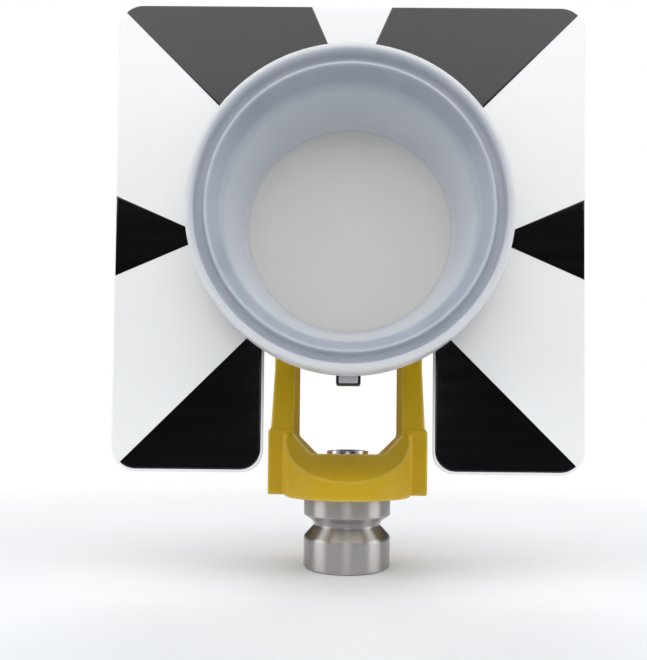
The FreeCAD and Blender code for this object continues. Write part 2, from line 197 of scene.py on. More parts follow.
def castCopy(name, node, settings):
    # the node's shape as a casting: rebuilt in small cells, then relaxed so that every edge is soft
    piece = mergedCopy(name, node)
    remesh = piece.modifiers.new("cells", "REMESH")
    remesh.mode = "VOXEL"
    remesh.voxel_size = settings["cell"] * mm
    relax = piece.modifiers.new("relax", "SMOOTH")
    relax.factor = 0.5
    relax.iterations = settings["relaxRounds"]
    bpy.context.view_layer.update()
    shaped = piece.evaluated_get(bpy.context.evaluated_depsgraph_get())
    mesh = bpy.data.meshes.new_from_object(shaped)
    piece.modifiers.clear()
    piece.data = mesh
    mesh.shade_smooth()
    return piece


# ---- materials ----

def linear(hexText):                                # sRGB hex to the linear colour that shaders use
    value = np.array([int(hexText[i:i + 2], 16) for i in (1, 3, 5)]) / 255
    value = np.where(value <= 0.04045, value / 12.92, ((value + 0.055) / 1.055) ** 2.4)
    return (*value.tolist(), 1.0)


def addNode(tree, kind, sockets=None, **options):
    # options set the node itself; a socket takes a plain value or another node's output
    node = tree.nodes.new(kind)
    for option, value in options.items():
        setattr(node, option, value)
    for socket, value in (sockets or {}).items():
        if isinstance(value, bpy.types.NodeSocket):
            tree.links.new(value, node.inputs[socket])
        else:
            node.inputs[socket].default_value = value
    return node


def newMaterial(name, values):
    material = bpy.data.materials.new(name)
    material.use_nodes = True
    shader = material.node_tree.nodes["Principled BSDF"]
    for socket, value in values.items():
        shader.inputs[socket].default_value = value
    return material, material.node_tree, shader


def cloudy(tree, size, stretch=(1, 1, 1), detail=2.0):
    # soft noise whose patches measure size millimetres on the piece
    place = addNode(tree, "ShaderNodeTexCoord").outputs["Object"]
    place = addNode(tree, "ShaderNodeMapping", {"Vector": place, "Scale": stretch}).outputs[0]
    return addNode(tree, "ShaderNodeTexNoise",
                   {"Vector": place, "Scale": 1 / (size * mm), "Detail": detail}).outputs[0]


def varied(tree, shader, socket, pattern, low, high):
    # the socket runs from low to high over the middle of the pattern's range
    ranged = {"Value": pattern, "From Min": 0.3, "From Max": 0.7, "To Min": low, "To Max": high}
    tree.links.new(addNode(tree, "ShaderNodeMapRange", ranged).outputs[0], shader.inputs[socket])


def tinted(tree, shader, pattern, firstHex, secondHex):
    mixed = {0: pattern, 6: linear(firstHex), 7: linear(secondHex)}
    colour = addNode(tree, "ShaderNodeMix", mixed, data_type="RGBA").outputs[2]
    tree.links.new(colour, shader.inputs["Base Color"])
    return colour


def relief(tree, shader, height, depth):            # bump of a real depth in millimetres
    bump = addNode(tree, "ShaderNodeBump", {"Height": height, "Distance": depth * mm})
    tree.links.new(bump.outputs[0], shader.inputs["Normal"])


def mustardPowderCoat():
    # Cast aluminium, powder coated and baked: a satin mustard skin with fine orange peel.
    # Its edges, found by their pointiness, are painted paler: a painted highlight along every edge.
    material, tree, shader = newMaterial("mustardPowderCoat", {"Roughness": 0.42,
                                                               "Specular IOR Level": 0.28})
    body = tinted(tree, shader, cloudy(tree, 14), "#C6A112", "#D0AB18")
    # painted highlight: pointy edges are mixed towards pale yellow, standing in for light caught on them
    edge = addNode(tree, "ShaderNodeNewGeometry").outputs["Pointiness"]
    edge = addNode(tree, "ShaderNodeMapRange", {"Value": edge, "From Min": 0.508, "From Max": 0.555,
                                                "To Max": 0.7}).outputs[0]
    mixed = {0: edge, 6: body, 7: linear("#E3C968")}
    colour = addNode(tree, "ShaderNodeMix", mixed, data_type="RGBA").outputs[2]
    tree.links.new(colour, shader.inputs["Base Color"])
    varied(tree, shader, "Roughness", cloudy(tree, 5), 0.36, 0.46)
    relief(tree, shader, cloudy(tree, 0.9), 0.02)
    return material


def turnedAluminium():
    # Aluminium turned on a lathe and clear anodised: fine grooves run round the axis, so highlights
    # stretch along it into upright bands. The grooves are drawn 0.3 mm apart, coarser than real ones.
    material, tree, shader = newMaterial("turnedAluminium", {
        "Base Color": linear("#BDB9B8"), "Metallic": 1.0, "Anisotropic": 0.9,
        "Anisotropic Rotation": 0.25})
    place = addNode(tree, "ShaderNodeTexCoord").outputs["Object"]
    split = addNode(tree, "ShaderNodeSeparateXYZ", {0: place}).outputs
    flat = addNode(tree, "ShaderNodeCombineXYZ", {"X": split["X"], "Y": split["Y"]}).outputs[0]
    radius = addNode(tree, "ShaderNodeVectorMath", {0: flat}, operation="LENGTH").outputs["Value"]
    ring = addNode(tree, "ShaderNodeCombineXYZ", {"X": radius, "Z": split["Z"]}).outputs[0]
    grooves = addNode(tree, "ShaderNodeTexNoise",
                      {"Vector": ring, "Scale": 1 / (0.3 * mm), "Detail": 3.0}).outputs[0]
    relief(tree, shader, grooves, 0.0012)
    varied(tree, shader, "Roughness", grooves, 0.32, 0.4)
    tangent = addNode(tree, "ShaderNodeTangent", direction_type="RADIAL", axis="Z")
    tree.links.new(tangent.outputs[0], shader.inputs["Tangent"])
    return material


def platedSteel():
    # Zinc-plated steel, polished by handling: bright and slightly blue, with faint cloudy dulling.
    material, tree, shader = newMaterial("platedSteel", {"Base Color": linear("#C8CACD"),
                                                         "Metallic": 1.0, "Roughness": 0.22})
    varied(tree, shader, "Roughness", cloudy(tree, 1.5), 0.16, 0.3)
    relief(tree, shader, cloudy(tree, 0.4), 0.003)
    return material


def mouldedAbs():
    # Injection-moulded black ABS from a spark-eroded tool: matt, with an even fine grain.
    material, tree, shader = newMaterial("mouldedAbs", {"Roughness": 0.45, "IOR": 1.53})
    tinted(tree, shader, cloudy(tree, 9), "#131315", "#1B1B1E")
    varied(tree, shader, "Roughness", cloudy(tree, 2.5), 0.4, 0.52)
    relief(tree, shader, cloudy(tree, 0.35, detail=3.0), 0.02)
    return material


def knobNylon():
    # Glass-filled black nylon of a clamping knob: duller than ABS, with a slightly streaky skin.
    material, tree, shader = newMaterial("knobNylon", {"Roughness": 0.5, "IOR": 1.53})
    tinted(tree, shader, cloudy(tree, 4, (1, 0.3, 0.3)), "#161617", "#222224")
    varied(tree, shader, "Roughness", cloudy(tree, 1.2), 0.42, 0.6)
    relief(tree, shader, cloudy(tree, 0.5, detail=3.0), 0.025)
    return material


def whiteEnamel():
    # Sheet metal sprayed with white stoving enamel: glossy enough to shade softly, barely rippled.
    material, tree, shader = newMaterial("whiteEnamel", {"Roughness": 0.35, "IOR": 1.5})
    tinted(tree, shader, cloudy(tree, 30), "#EEEFEF", "#F3F4F4")
    varied(tree, shader, "Roughness", cloudy(tree, 6), 0.32, 0.4)
    relief(tree, shader, cloudy(tree, 1.2), 0.004)
    return material


def blackFilm():
    # Cut vinyl film, deep black: a satin skin that turns grey where it mirrors a bright ceiling, with
    # faint streaks from the squeegee that run across it.
    material, tree, shader = newMaterial("blackFilm", {"IOR": 1.5})
    streaks = cloudy(tree, 3.0, (0.12, 1, 1), detail=4.0)
    tinted(tree, shader, streaks, "#060608", "#09090C")
    varied(tree, shader, "Roughness", streaks, 0.13, 0.19)
    relief(tree, shader, cloudy(tree, 2.5, (0.3, 1, 1), detail=3.0), 0.002)
    return material


def milkyPolyethylene():
    # Low-density polyethylene: milky and waxy. Its colour is painted by distance from the optical axis:
    # pale on the floor, blue-grey on the wall, painted shade in darker bands at the throat and the
    # channel, a painted highlight on the paler ridge, and a nearly white rolled rim that is partly its
    # thickness and partly painted light.
    material, tree, shader = newMaterial("milkyPolyethylene", {
        "IOR": 1.51, "Transmission Weight": 0.2,
        "Subsurface Weight": 0.5, "Subsurface Scale": 0.002, "Subsurface Radius": (0.9, 0.95, 1.0)})
    # colour by distance from the axis: the darker throat and channel bands are painted shade, the paler
    # ridge and rim partly painted light
    tintsAndPaintedShade = {0: "#E4E1DC", 30.9: "#E2E0DC", 31.5: "#D0D4D9", 36.2: "#C9CFD8", 37.8: "#9CA4B4",
              39.8: "#9CA3B3", 40.5: "#C0C6D1", 41.6: "#B4BAC8", 43.8: "#B6BCC9", 45.2: "#E6E8EA"}
    reach = 50.0
    place = addNode(tree, "ShaderNodeTexCoord").outputs["Object"]
    across = addNode(tree, "ShaderNodeMapping", {"Vector": place, "Location": (0, 0, -axisZ * mm),
                                                 "Scale": (1, 0, 1)}).outputs[0]
    away = addNode(tree, "ShaderNodeVectorMath", {0: across}, operation="LENGTH").outputs["Value"]
    share = addNode(tree, "ShaderNodeMath", {0: away, 1: 1 / (reach * mm)}, operation="MULTIPLY")
    ramp = addNode(tree, "ShaderNodeValToRGB", {0: share.outputs[0]})
    stops = ramp.color_ramp.elements
    stops.remove(stops[1])
    for radius, hexText in tintsAndPaintedShade.items():          # millimetres from the optical axis
        stop = stops.new(radius / reach) if radius else stops[0]
        stop.color = linear(hexText)
    flow = cloudy(tree, 9, (1, 1, 0.6), detail=1.0)
    veil = addNode(tree, "ShaderNodeMath", {0: flow, 1: 0.3}, operation="MULTIPLY").outputs[0]
    mixed = {0: veil, 6: ramp.outputs[0], 7: linear("#E6E8EB")}
    milk = addNode(tree, "ShaderNodeMix", mixed, data_type="RGBA").outputs[2]
    tree.links.new(milk, shader.inputs["Base Color"])
    varied(tree, shader, "Roughness", flow, 0.31, 0.38)
    return material


def opticalGlass():
    # Polished crown glass, clear and sharp-edged, with the faintest bloom.
    material, tree, shader = newMaterial("opticalGlass", {
        "Base Color": linear("#FBFDFD"), "Roughness": 0.0, "IOR": 1.517, "Transmission Weight": 1.0})
    varied(tree, shader, "Roughness", cloudy(tree, 12), 0.0, 0.012)
    return material


def groundGlass():
    # The prism's side, left ground: frosted and pale.
    material, tree, shader = newMaterial("groundGlass", {
        "Base Color": linear("#E9EDEE"), "IOR": 1.517, "Transmission Weight": 0.6})
    varied(tree, shader, "Roughness", cloudy(tree, 0.5), 0.45, 0.65)
    relief(tree, shader, cloudy(tree, 0.3), 0.01)
    return material


def silverCoating():
    # Chemically silvered rear faces of the prism: a near-perfect mirror seen through the glass.
    material, tree, shader = newMaterial("silverCoating", {"Base Color": linear("#F0EFEC"),
                                                           "Metallic": 1.0})
    varied(tree, shader, "Roughness", cloudy(tree, 8), 0.02, 0.06)
    return material


def nitrileRubber():
    # Nitrile rubber of gaskets and pads: near black, soft sheen, slightly dusty.
    material, tree, shader = newMaterial("nitrileRubber", {"Roughness": 0.7, "IOR": 1.52})
    tinted(tree, shader, cloudy(tree, 3), "#121212", "#1E1E1D")
    relief(tree, shader, cloudy(tree, 0.4), 0.02)
    return material


def naturalNylon():
    # Uncoloured nylon of bushes and friction washers: ivory, waxy, a little translucent.
    material, tree, shader = newMaterial("naturalNylon", {
        "Roughness": 0.45, "IOR": 1.53, "Subsurface Weight": 0.3, "Subsurface Scale": 0.002})
    tinted(tree, shader, cloudy(tree, 3), "#DDD8C8", "#E6E2D6")
    relief(tree, shader, cloudy(tree, 0.5), 0.01)
    return material


def turnedBrass():
    # Free-cutting brass straight off the lathe: warm, with fine tool marks.
    material, tree, shader = newMaterial("turnedBrass", {"Metallic": 1.0, "Roughness": 0.3})
    tinted(tree, shader, cloudy(tree, 2), "#C9A254", "#D6B268")
    relief(tree, shader, cloudy(tree, 0.25, (1, 0.1, 0.1)), 0.006)
    return material


def greyInset():
    # Light-grey moulded inset of the index lug: satin plastic, faintly mottled.
    material, tree, shader = newMaterial("greyInset", {"Roughness": 0.45, "IOR": 1.5})
    tinted(tree, shader, cloudy(tree, 1.5), "#C4C7CB", "#CFD1D4")
    relief(tree, shader, cloudy(tree, 0.5), 0.01)
    return material


finish = {"yoke_paint": mustardPowderCoat(), "satin_aluminium": turnedAluminium(),
          "bright_steel": platedSteel(), "black_plastic": mouldedAbs(), "optical_glass": opticalGlass(),
          "rubber": nitrileRubber(), "grey_mark": greyInset(), "plate_white": whiteEnamel(),
          "cap_plastic": milkyPolyethylene(), "nylon": naturalNylon(), "brass": turnedBrass(),
          "knob_plastic": knobNylon()}
print("materials:", len(finish))

# Every frame node, shown or hidden, takes the finish of its own slot.
for node in nodes.values():
    slotName = node.data.materials[0].name.split(".")[0]
    for place in range(len(node.data.materials)):
        node.data.materials[place] = finish[slotName]


def placePiece(piece, body, slotName, *replaced, extraFinishes=()):
    piece.data.materials.append(finish[slotName])
    for material in extraFinishes:
        piece.data.materials.append(material)
    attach(piece, body)
    if replaced:
        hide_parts(*replaced)
    return piece


# ---- target plate and its black fields ----

plate = {"cornerRadius": 8.0, "notchHalf": 27.1, "notchCorner": 7.0, "holeRadius": 38.1,
         "rimRound": 0.6, "backRound": 0.25}


def plateOutline():
    left, right = plateLow[0], plateHigh[0]
    bottom, top = plateLow[2], plateHigh[2]
    half, hole = plate["notchHalf"], plate["holeRadius"]
    meet = axisZ - math.sqrt(hole ** 2 - half ** 2)         # the notch runs into the round hole here
    turn = math.degrees(math.acos(half / hole))
    outer = softCorners([(half, meet, 0), (half, bottom, plate["notchCorner"]),
                         (right, bottom, plate["cornerRadius"]), (right, top, plate["cornerRadius"]),
                         (left, top, plate["cornerRadius"]), (left, bottom, plate["cornerRadius"]),
                         (-half, bottom, plate["notchCorner"]), (-half, meet, 0)], 14)
    return np.vstack([outer, arc((0, axisZ), hole, 180 + turn, -turn, 90)[1:-1]])


def targetPlate():
    # The front rim is a quarter circle: its inset is rim * (1 - cos), its depth rim * (1 - sin).
    front, back = plateLow[1], plateHigh[1]
    rim, rear = plate["rimRound"], plate["backRound"]
    turn = np.radians(np.linspace(0, 90, 7))
    layers = [(rear + 0.3, back), (rear, back), (0.3 * rear, back - 0.3 * rear), (0, back - rear)]
    layers += [(rim * (1 - math.cos(t)), front + rim * (1 - math.sin(t))) for t in turn]
    layers += [(rim + 0.3, front)]
    piece = sheet("targetPlate", plateOutline(), layers)
    return placePiece(piece, "prism_head", "plate_white", "target_plate")


film = {"thickness": 0.14, "slope": 0.35, "sideMargin": 0.45, "topMargin": 0.3, "bottomMargin": 0.9,
        "innerRadius": 43.9, "wedgeTip": 45.3, "wedgeHalf": 13.0}


def filmOutlines():
    # Black fields of the left half, about the plate's centre: upper, side and lower.
    half = (plateHigh[0] - plateLow[0]) / 2
    corner = plate["cornerRadius"]
    inner, tip = film["innerRadius"], film["wedgeTip"]
    slope = film["wedgeHalf"] / (half - tip)                # a wedge line's run-out per millimetre
    side, top, bottom = half - film["sideMargin"], half - film["topMargin"], half - film["bottomMargin"]
    middle = half - corner
    upperCorner = arc((-middle, middle), corner - film["topMargin"], 135, 90, 8)
    upper = np.vstack([arc((0, 0), inner, 90, 135, 20), upperCorner,
                       [(-slope * (top - tip), top), (0, tip)]])
    sideField = np.array([(-tip, 0), (-side, slope * (side - tip)), (-side, -slope * (side - tip))])
    lowerCorner = arc((-middle, -middle), corner - film["bottomMargin"], 225, 270, 8)
    notchIn = plate["notchHalf"] + film["sideMargin"]
    notchRadius = plate["notchCorner"] - film["sideMargin"]
    notchCorner = arc((-notchIn - notchRadius, -bottom + notchRadius), notchRadius, 270, 360, 10)
    fromAngle = 180 + math.degrees(math.acos(notchIn / inner))
    lower = np.vstack([arc((0, 0), inner, fromAngle, 225, 8), lowerCorner, notchCorner])
    return {"Upper": upper, "Side": sideField, "Lower": lower}


def filmFields():
    # Each field is a thin sheet on the plate's face; its edge slopes inwards to the top of the film.
    front = plateLow[1]
    thick, slope = film["thickness"], film["slope"]
    layers = [(0, front + 0.05), (0, front - 0.03), (0.4 * slope, front - 0.75 * thick),
              (slope, front - thick), (slope + 0.3, front - thick)]
    middle = (plateLow[2] + plateHigh[2]) / 2
    for field, outline in filmOutlines().items():
        for sideName, sign in (("Left", 1), ("Right", -1)):
            piece = sheet("film" + field + sideName, outline * (sign, 1) + (0, middle), layers)
            piece.data.materials.append(filmFinish)
            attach(piece, "prism_head")


filmFinish = blackFilm()
targetPlate()
filmFields()
print("target plate and black fields")


# ---- dust cap ----

dustCap = {"wall": 1.2, "skirt": 7.6, "rimWidth": 2.2, "rimLean": 0.5, "channel": -47.2,
           "channelBack": -46.05, "ridge": 40.6, "ridgeHalf": 0.3, "ridgeFoot": 0.8, "ridgeTop": -48.6,
           "throat": 37.0, "throatPlace": -45.0, "throatRound": 3.0, "corner": 32.6,
           "cornerPlace": -34.9, "floor": 31.8, "floorFront": -34.3, "floorBack": -33.5}


def dustCapPiece():
    # The profile (radius, depth) runs from the skirt over the rim, channel and ridge, down the cone
    # to the floor, and back behind it a wall's thickness away; then it goes round the optical axis.
    radius, wall = capHigh[0], dustCap["wall"]
    front, back = capLow[1], capLow[1] + dustCap["skirt"]
    rimIn = radius - dustCap["rimWidth"]
    ridge, half, foot = dustCap["ridge"], dustCap["ridgeHalf"], dustCap["ridgeFoot"]
    throat, corner, floor = dustCap["throat"], dustCap["corner"], dustCap["floor"]
    channel, channelBack = dustCap["channel"], dustCap["channelBack"]
    face = [(radius, back, 0.25), (radius, front, 0.8), (rimIn, front, 0.75),
            (rimIn - dustCap["rimLean"], channel, 0.6), (ridge + foot, channel, 0.35),
            (ridge + half, dustCap["ridgeTop"], 0.25), (ridge - half, dustCap["ridgeTop"], 0.25),
            (throat, dustCap["throatPlace"], dustCap["throatRound"]),
            (corner, dustCap["cornerPlace"], 0.5), (floor, dustCap["floorFront"], 0.4),
            (0, dustCap["floorFront"], 0)]
    rear = [(0, dustCap["floorBack"], 0), (floor + wall / 2, dustCap["floorBack"], 0.4),
            (corner + wall, dustCap["cornerPlace"], 0.8), (throat + wall, dustCap["throatPlace"], 1.5),
            (ridge, channelBack - foot, 0.4), (ridge + foot, channelBack, 0.3),
            (radius - wall, channelBack, 0.3), (radius - wall, back, 0.25)]
    piece = revolve("dustCap", softCorners(face + rear), opticalAxis, "y", 256)
    return placePiece(piece, "cap", "cap_plastic", "dust_cap")


dustCapPiece()
print("dust cap")


# ---- corner cube ----

prism = {"bevel": 0.5, "edgeAngles": (-90, 30, 150)}


def cornerCube():
    # Rear height over the front face: apex + sqrt(2) * radius * the least cosine to the three edges.
    radius, front, apex = glassHigh[0], glassLow[1], glassHigh[1]
    steps = 240
    angle = np.linspace(0, 2 * np.pi, steps, endpoint=False)
    least = np.min([np.cos(angle - math.radians(edge)) for edge in prism["edgeAngles"]], 0)
    inner = radius - prism["bevel"]
    rows = [(r, np.full(steps, front)) for r in (0.0, 0.5 * inner, inner)]
    rows += [(radius, np.minimum(front + prism["bevel"], apex + math.sqrt(2) * radius * least))]
    rows += [(r, np.maximum(apex + math.sqrt(2) * r * least, front)) for r in np.linspace(radius, 0, 25)]
    points = np.array([np.stack([r * np.cos(angle), y, axisZ + r * np.sin(angle)], 1) for r, y in rows])
    piece = meshPiece("cornerCube", points.reshape(-1, 3), gridFaces(len(rows), steps, False), 20)
    normal = np.zeros(len(piece.data.polygons) * 3, np.float32)
    piece.data.polygons.foreach_get("normal", normal)
    facing = normal.reshape(-1, 3)[:, 1]
    finishIndex = np.where(facing > 0.3, 2, np.where(facing > -0.3, 1, 0)).astype(np.int32)
    placePiece(piece, "prism_head", "optical_glass", "corner_cube",
               extraFinishes=(groundGlass(), silverCoating()))
    piece.data.polygons.foreach_set("material_index", finishIndex)
    return piece


cornerCube()
print("corner cube")


# ---- canister ----

barrel = {"lipRadius": 44.8, "hoodRadius": 43.6, "lipLength": 4.6, "lipTaper": 1.2, "seatRadius": 36.0,
          "lipInner": 30.2, "glassLip": -33.2, "gasketSeat": -32.1, "bore": 31.35, "spigot": 37.8,
          "barrelRadius": 37.0, "threadRadius": 35.0, "threadFront": -24.0, "wall": 3.0,
          "lugHalf": 3.7, "lugLow": 4.75, "lugLength": 3.0, "lugBehind": 7.5, "lugRim": 0.45,
          "markDepth": 0.8}


def frontBarrel():
    # A turned shell, its profile (radius, depth) taken round the optical axis, with the index lug as
    # a sheet of its own whose face is sunk inside a rim.
    front, back = barrelLow[1], barrelHigh[1]
    plateFront, plateBack = plateLow[1], plateHigh[1]
    lip, hood = barrel["lipRadius"], barrel["hoodRadius"]
    outline = [(lip - barrel["wall"], front, 0.4), (lip, front, 0.6),
               (lip, front + barrel["lipLength"], 0.5),
               (hood, front + barrel["lipLength"] + barrel["lipTaper"], 0.8),
               (hood, plateFront, 0.3), (barrel["spigot"], plateFront, 0.05),
               (barrel["spigot"], plateBack - 0.1, 0.1), (barrel["barrelRadius"], plateBack - 0.1, 0.05),
               (barrel["barrelRadius"], back, 0.3), (barrel["threadRadius"], back, 0.1),
               (barrel["threadRadius"], barrel["threadFront"], 0.1),
               (barrel["bore"], barrel["threadFront"], 0.1), (barrel["bore"], barrel["gasketSeat"], 0.1),
               (barrel["lipInner"], barrel["gasketSeat"], 0.1),
               (barrel["lipInner"], barrel["glassLip"], 0.2),
               (barrel["seatRadius"], barrel["glassLip"], 0.6)]
    shell = revolve("barrelShell", softCorners(outline), opticalAxis, "y", 256)
    lugFront = front + barrel["lugBehind"]
    low, high = axisZ - hood - barrel["lugLow"], axisZ - hood + 0.8
    half, rim = barrel["lugHalf"], barrel["lugRim"]
    corners = softCorners([(-half, low, 0.7), (half, low, 0.7), (half, high, 0), (-half, high, 0)])
    layers = [(0, lugFront + barrel["lugLength"]), (0, lugFront + 0.35), (0.1, lugFront + 0.1),
              (0.35, lugFront), (rim, lugFront), (rim, lugFront + barrel["markDepth"])]
    piece = joined("frontBarrel", shell, sheet("lug", corners, layers))
    return placePiece(piece, "prism_head", "black_plastic", "front_barrel")


def indexMark():
    # a small sheet whose front edge is rounded over 0.15 mm
    low, high = boxOf("index_mark")
    corners = softCorners([(low[0], low[2], 0.5), (high[0], low[2], 0.5),
                           (high[0], high[2], 0.5), (low[0], high[2], 0.5)])
    piece = sheet("indexMark", corners, [(0, high[1]), (0, low[1] + 0.15), (0.05, low[1] + 0.04),
                                         (0.15, low[1]), (0.3, low[1])])
    return placePiece(piece, "prism_head", "grey_mark", "index_mark")


clampRing = {"inner": 37.3, "outer": 43.6, "edge": 0.5, "screwCircle": 40.8, "screwAngle": 38.0,
             "headRadius": 2.3, "headSide": 0.45, "headHeight": 1.6, "recessArm": 1.45,
             "recessHalf": 0.42, "recessDepth": 0.85}


def plateClampRing():
    # a flat ring, its profile (radius, depth) with a fine groove turned near the outer edge
    low, high = boxOf("plate_clamp_ring")
    inner, outer, edge = clampRing["inner"], clampRing["outer"], clampRing["edge"]
    outline = [(inner, low[1], 0.1), (outer, low[1], 0.1), (outer, high[1], edge),
               (outer - 1.2, high[1], 0.15), (outer - 1.35, high[1] - 0.3, 0.1),
               (outer - 1.6, high[1] - 0.3, 0.1), (outer - 1.75, high[1], 0.15), (inner, high[1], edge)]
    piece = revolve("plateClampRing", softCorners(outline), opticalAxis, "y", 256)
    return placePiece(piece, "prism_head", "black_plastic", "plate_clamp_ring")


def plateScrews():
    # Pan head: a side, then a dome, height = side + rest * sqrt(1 - (radius / head)^2), with a cross
    # sunk where the smaller of the two distances to its arms is under the arm's half width.
    low, high = boxOf("plate_screws")
    head, side = clampRing["headRadius"], clampRing["headSide"]
    rise = clampRing["headHeight"] - side
    foot = high[1] - clampRing["headHeight"]
    shank = 1.2
    profile = [(0, low[1] - foot), (shank, low[1] - foot), (shank, 0), (head, 0), (head, side * 0.5)]
    profile += [(r, side + rise * math.sqrt(1 - (r / head) ** 2)) for r in np.linspace(head, 0, 26)]

    def crossRecess(radius, along, angle):
        arm = radius * np.minimum(np.abs(np.cos(angle)), np.abs(np.sin(angle)))
        within = np.clip((clampRing["recessHalf"] - arm) / 0.15, 0, 1)
        within = within * np.clip((clampRing["recessArm"] - radius) / 0.25, 0, 1)
        onHead = along > side
        return radius, along - clampRing["recessDepth"] * within * onHead

    screws = []
    turn = clampRing["screwAngle"]
    for number, degrees in enumerate((turn, -turn, 180 - turn, 180 + turn)):
        angle = math.radians(degrees)
        centre = (clampRing["screwCircle"] * math.cos(angle), foot,
                  axisZ + clampRing["screwCircle"] * math.sin(angle))
        screws.append(revolve("screw%d" % number, profile, centre, "y", 72, False, crossRecess))
    return placePiece(joined("plateScrews", *screws), "prism_head", "bright_steel", "plate_screws")


frontBarrel()
indexMark()
plateClampRing()
plateScrews()
for pieceName, node, slotName, broken in (("rearHousing", "rear_housing", "black_plastic", 0.6),
                                          ("housingGasket", "housing_gasket", "rubber", 0.1)):
    placePiece(easedCopy(pieceName, node, broken), "prism_head", slotName, node)
print("canister")


# ---- yoke, adapter and bolt ----

yoke = {"cell": 0.55, "relaxRounds": 7}
placePiece(castCopy("yokeCasting", "yoke", yoke), "yoke_base", "yoke_paint", "yoke")

adapter = {"chamfer": 0.8, "lowerTop": 11.3, "waist": 12.5, "waistLow": 15.5, "waistLand": 15.9,
           "waistRing": 13.4, "waistHigh": 17.4, "upper": 19.5, "boltHole": 4.05, "bore": 6.75,
           "boreDepth": 14.0, "shoulderRound": 2.2, "pitch": 25.4 / 11, "threadDepth": 1.1,
           "runOut": 0.6}


def poleAdapter():
    # The bore's thread: radius = core + depth * triangle(height / pitch - angle / full turn).
    radius, height = adapterHigh[0], adapterHigh[2]
    bore, depth = adapter["bore"], adapter["boreDepth"]
    outline = [(radius, 0, adapter["chamfer"]),
               (radius, adapter["lowerTop"], adapter["shoulderRound"]),
               (adapter["waist"], adapter["waistLow"], 0.5),
               (adapter["waist"], adapter["waistLand"], 0.15),
               (adapter["waistRing"], adapter["waistHigh"], 0.35), (radius, adapter["upper"], 0.5),
               (radius, height, 0.4), (adapter["boltHole"], height, 0.3),
               (adapter["boltHole"], depth, 0.2), (bore, depth, 0.2)]
    mouth = [(bore + adapter["threadDepth"] + 0.3, 0, 0.1)]
    smooth = softCorners(outline + [(bore, 0.9, 0)] + mouth, 7)
    rows = np.linspace(depth - adapter["runOut"], 1.1, 90)
    thread = np.stack([np.full(len(rows), bore), rows], 1)
    into = int(np.argmin(np.abs(smooth - (bore, 0.9)).sum(1)))
    profile = np.vstack([smooth[:into], thread, smooth[into:]])

    def cutThread(radius, along, angle):
        inBore = np.abs(radius - bore) < 1e-6
        phase = (along / adapter["pitch"] - angle / (2 * np.pi)) % 1
        tooth = np.clip(1.3 - 2.6 * np.abs(phase - 0.5), 0, 1)
        fade = np.clip((depth - adapter["runOut"] - along) / 1.5, 0, 1)
        return radius + inBore * tooth * fade * adapter["threadDepth"], along

    piece = revolve("poleAdapter", profile, (0, 0, 0), "z", 192, True, cutThread)
    return placePiece(piece, "yoke_base", "satin_aluminium", "adapter")


bolt = {"head": 7.9, "headHeight": 3.6, "side": 3.0, "shank": 4.0, "socketAcross": 5.0,
        "socketDepth": 2.2}


def adapterBolt():
    # Height of the domed head: top - dome + sqrt(dome^2 - radius^2), with a hexagon socket sunk in it.
    low, high = boxOf("adapter_bolt")
    head, top = bolt["head"], high[2]
    foot = top - bolt["headHeight"]
    rise = bolt["headHeight"] - bolt["side"]
    dome = (head ** 2 + rise ** 2) / (2 * rise)             # radius of the domed top
    half = bolt["socketAcross"] / 2
    across = np.linspace(head - 0.5, half + 0.5, 14)
    crown = [(r, top - dome + math.sqrt(dome ** 2 - r ** 2)) for r in across]
    shank, shoulder = bolt["shank"], foot + bolt["side"]
    profile = [(0, low[2]), (shank - 0.6, low[2]), (shank, low[2] + 0.6), (shank, foot),
               (head - 0.2, foot), (head, foot + 0.2), (head, shoulder - 0.2),
               (head - 0.12, shoulder + 0.02)] + crown
    mouth, socketFloor = top - 0.15, top - bolt["socketDepth"]
    profile += [(half + 0.15, mouth + 0.05), (half, mouth - 0.1), (half, socketFloor), (0, socketFloor)]

    def hexagon(radius, along, angle):
        # inside the socket's mouth the radius is the hexagon's: flat distance / cosine to its flat
        flat = 1 / np.cos((angle + math.pi / 6) % (math.pi / 3) - math.pi / 6)
        inSocket = (radius <= half + 0.2) & (along > foot + 0.5)
        return np.where(inSocket, radius * flat, radius), along

    piece = revolve("adapterBolt", profile, (0, 0, 0), "z", 144, False, hexagon)
    return placePiece(piece, "yoke_base", "bright_steel", "adapter_bolt")


poleAdapter()
adapterBolt()
print("yoke, adapter and bolt")


# ---- tilt knobs ----

knob = {"radius": 12.0, "length": 11.0, "edge": 1.0, "flutes": 16, "fluteRadius": 1.3, "fluteOut": 0.3,
        "dish": 7.5, "dishDepth": 1.0, "studRadius": 3.0, "studDepth": 7.0}


def tiltKnob(side, sign):
    # A flute takes away a circle of its own radius: at an angle off its middle the knob's radius is
    # out * cos - sqrt(flute^2 - (out * sin)^2), where that is less than the plain radius.
    low, high = boxOf("tilt_knob_" + side)
    start = low[0] if sign > 0 else high[0]
    radius, length = knob["radius"], knob["length"]
    profile = softCorners([(knob["studRadius"], 0, 0.1), (radius - 1.5, 0, 0.6), (radius, 1.6, 0.8),
                           (radius, length, knob["edge"]), (knob["dish"] + 0.4, length, 0.4),
                           (knob["dish"], length - knob["dishDepth"], 0.4),
                           (knob["dish"] - 1.6, length - knob["dishDepth"], 0.3),
                           (knob["dish"] - 2.1, length - 0.55, 0.3), (0, length - 0.5, 0),
                           (0, knob["studDepth"], 0), (knob["studRadius"], knob["studDepth"], 0.1)], 7)

    def flutes(radiusNow, along, angle):
        out, cut = knob["radius"] + knob["fluteOut"], knob["fluteRadius"]
        step = 2 * np.pi / knob["flutes"]
        off = (angle + step / 2) % step - step / 2
        inside = np.maximum(cut ** 2 - (out * np.sin(off)) ** 2, 0)
        limit = np.where(inside > 0, out * np.cos(off) - np.sqrt(inside), 1e3)
        return np.minimum(radiusNow, limit), along

    profile = profile * (1, sign)
    piece = revolve("tiltKnob" + side.capitalize(), profile, (start, pivotY, axisZ), "x", 320, True,
                    flutes)
    return placePiece(piece, side + "_knob", "knob_plastic", "tilt_knob_" + side)


